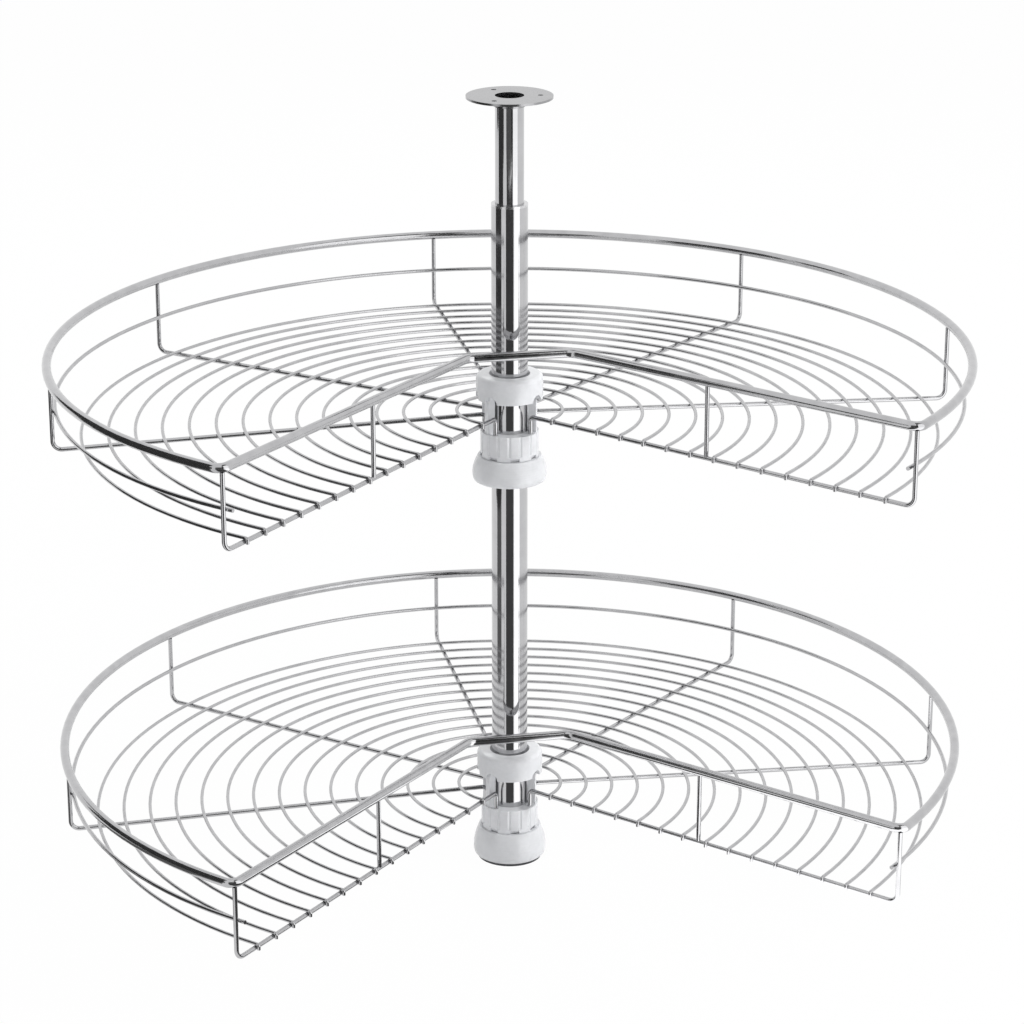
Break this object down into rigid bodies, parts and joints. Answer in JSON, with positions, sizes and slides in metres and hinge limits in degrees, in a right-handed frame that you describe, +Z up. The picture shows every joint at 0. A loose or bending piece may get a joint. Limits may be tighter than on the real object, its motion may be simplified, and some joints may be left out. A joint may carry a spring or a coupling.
{
  "type": "corner carousel fitting",
  "caption": "Two three-quarter round wire shelves that turn on one telescopic pole, for a corner kitchen cabinet.",
  "frame": {"origin": "middle of the floor plate's underside, on the pole's axis", "axes": "+Z up the pole, -Y out of the middle of the shelves' notch, +X to the right of a person who looks into the notch"},
  "size_m": [0.81, 0.6908, 0.708],
  "materials": {
    "tube_chrome": "polished chrome plate",
    "wire_chrome": "polished chrome plate on drawn wire",
    "flange_steel": "satin plated steel",
    "washer_steel": "plain steel washer",
    "bush_metal": "polished bush",
    "screw_steel": "blackened screws",
    "dark_plate": "black floor plate",
    "guide_plastic": "moulded guide sleeve",
    "white_plastic": "satin white moulding"
  },
  "bodies": {
    "pole_base": {"floor_plate": "dark_plate", "lower_tube": "tube_chrome", "tube_bush": "bush_metal", "tube_lock_screw": "screw_steel", "lower_cup": "white_plastic", "lower_cup_screw": "screw_steel", "lower_washer": "washer_steel"},
    "upper_pole": {"upper_tube": "tube_chrome", "top_flange": "flange_steel", "inner_guide": "guide_plastic"},
    "upper_carrier": {"upper_cup": "white_plastic", "upper_cup_screw": "screw_steel", "upper_washer": "washer_steel"},
    "lower_shelf": {"lower_hub": "white_plastic", "lower_rim": "wire_chrome", "lower_mid_rail": "wire_chrome", "lower_spoke_1": "wire_chrome", "lower_spoke_2": "wire_chrome", "lower_spoke_3": "wire_chrome", "lower_spoke_4": "wire_chrome", "lower_spoke_5": "wire_chrome", "lower_spoke_6": "wire_chrome", "lower_spoke_7": "wire_chrome", "lower_edge_post_left": "wire_chrome", "lower_edge_post_right": "wire_chrome", "lower_floor_rings_1": "wire_chrome", "lower_floor_rings_2": "wire_chrome", "lower_floor_rings_3": "wire_chrome", "lower_floor_rings_4": "wire_chrome", "lower_floor_rings_5": "wire_chrome"},
    "upper_shelf": {"upper_hub": "white_plastic", "upper_rim": "wire_chrome", "upper_mid_rail": "wire_chrome", "upper_spoke_1": "wire_chrome", "upper_spoke_2": "wire_chrome", "upper_spoke_3": "wire_chrome", "upper_spoke_4": "wire_chrome", "upper_spoke_5": "wire_chrome", "upper_spoke_6": "wire_chrome", "upper_spoke_7": "wire_chrome", "upper_edge_post_left": "wire_chrome", "upper_edge_post_right": "wire_chrome", "upper_floor_rings_1": "wire_chrome", "upper_floor_rings_2": "wire_chrome", "upper_floor_rings_3": "wire_chrome", "upper_floor_rings_4": "wire_chrome", "upper_floor_rings_5": "wire_chrome"}
  },
  "joints": [
    {"name": "pole_telescope", "type": "slide", "parent": "pole_base", "child": "upper_pole", "axis": [0, 0, 1], "range_m": [-0.078, 0.042]},
    {"name": "upper_shelf_height", "type": "slide", "parent": "pole_base", "child": "upper_carrier", "axis": [0, 0, 1], "range_m": [-0.2, 0.12]},
    {"name": "lower_shelf_spin", "type": "hinge", "parent": "pole_base", "child": "lower_shelf", "pos_m": [0, 0, 0.0685], "axis": [0, 0, 1], "continuous": true},
    {"name": "upper_shelf_spin", "type": "hinge", "parent": "upper_carrier", "child": "upper_shelf", "pos_m": [0, 0, 0.425], "axis": [0, 0, 1], "continuous": true}
  ]
}
